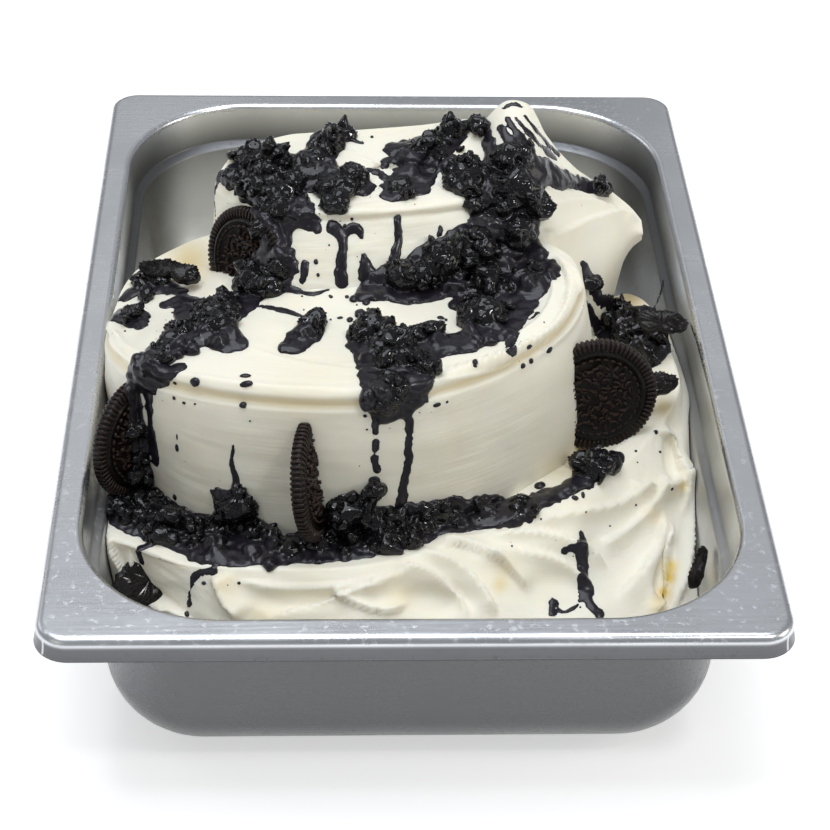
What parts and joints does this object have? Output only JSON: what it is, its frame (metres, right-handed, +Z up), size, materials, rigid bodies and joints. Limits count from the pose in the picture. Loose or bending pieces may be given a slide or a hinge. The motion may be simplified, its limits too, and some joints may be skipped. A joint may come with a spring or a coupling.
{
  "type": "tub of gelato",
  "caption": "Steel display pan heaped with tall swept bands of cream gelato, with dark sauce, crumbs and ribbed biscuits.",
  "frame": {"origin": "middle of the pan's underside, on the surface that it stands on", "axes": "+Z up, +Y along the pan's long side towards the high back band, +X to the right"},
  "size_m": [0.2516, 0.3616, 0.156],
  "materials": {
    "steel": "satin pressed stainless sheet",
    "gelato": "soft cream, smooth where the paddle swept it",
    "sauce": "thick glossy near-black sauce",
    "biscuit": "dry dark cocoa biscuit"
  },
  "bodies": {
    "root": {"pan": "steel", "gelato": "gelato", "biscuit_left": "biscuit", "biscuit_back": "biscuit", "biscuit_wall": "biscuit", "biscuit_right": "biscuit", "shard_right_high": "biscuit", "shard_right_low": "biscuit", "shard_left_high": "biscuit", "shard_left_low": "biscuit", "shard_corner": "biscuit", "shard_front_right": "biscuit"}
  },
  "joints": []
}
